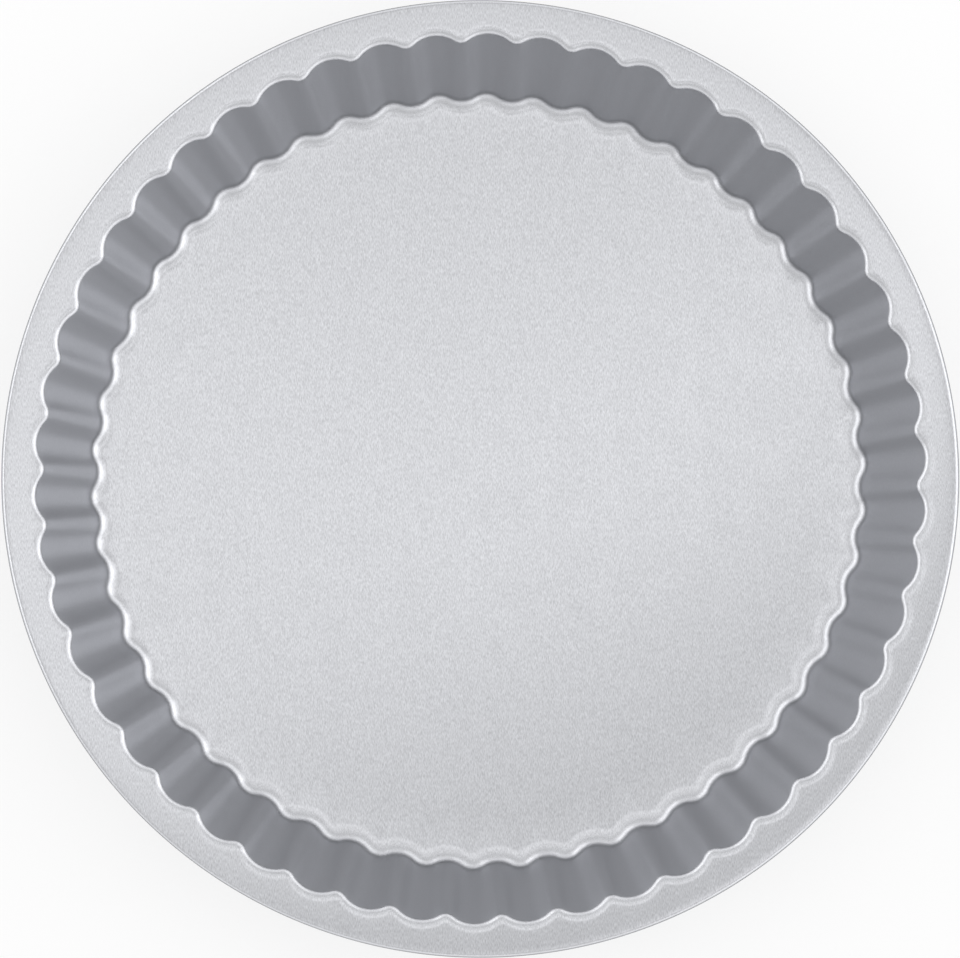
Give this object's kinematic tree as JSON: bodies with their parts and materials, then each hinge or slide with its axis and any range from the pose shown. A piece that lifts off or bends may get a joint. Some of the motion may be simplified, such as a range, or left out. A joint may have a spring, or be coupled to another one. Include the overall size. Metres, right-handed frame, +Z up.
{
  "type": "fluted quiche dish",
  "caption": "Round shallow metal baking dish with a flat floor, a fluted sloping wall, a flat flange and a rolled rim.",
  "frame": {"origin": "centre of the underside, on the surface that the dish stands on", "axes": "+Z up through the middle of the dish, out of its mouth; +X through the middle of one flute"},
  "size_m": [0.3, 0.3, 0.035],
  "materials": {
    "coated_steel": "satin silver-grey non-stick coating with a fine upright grain",
    "wire_steel": "plain drawn wire, hidden in the rolled rim"
  },
  "bodies": {
    "root": {"dish_shell": "coated_steel", "rim_wire": "wire_steel"}
  },
  "joints": []
}
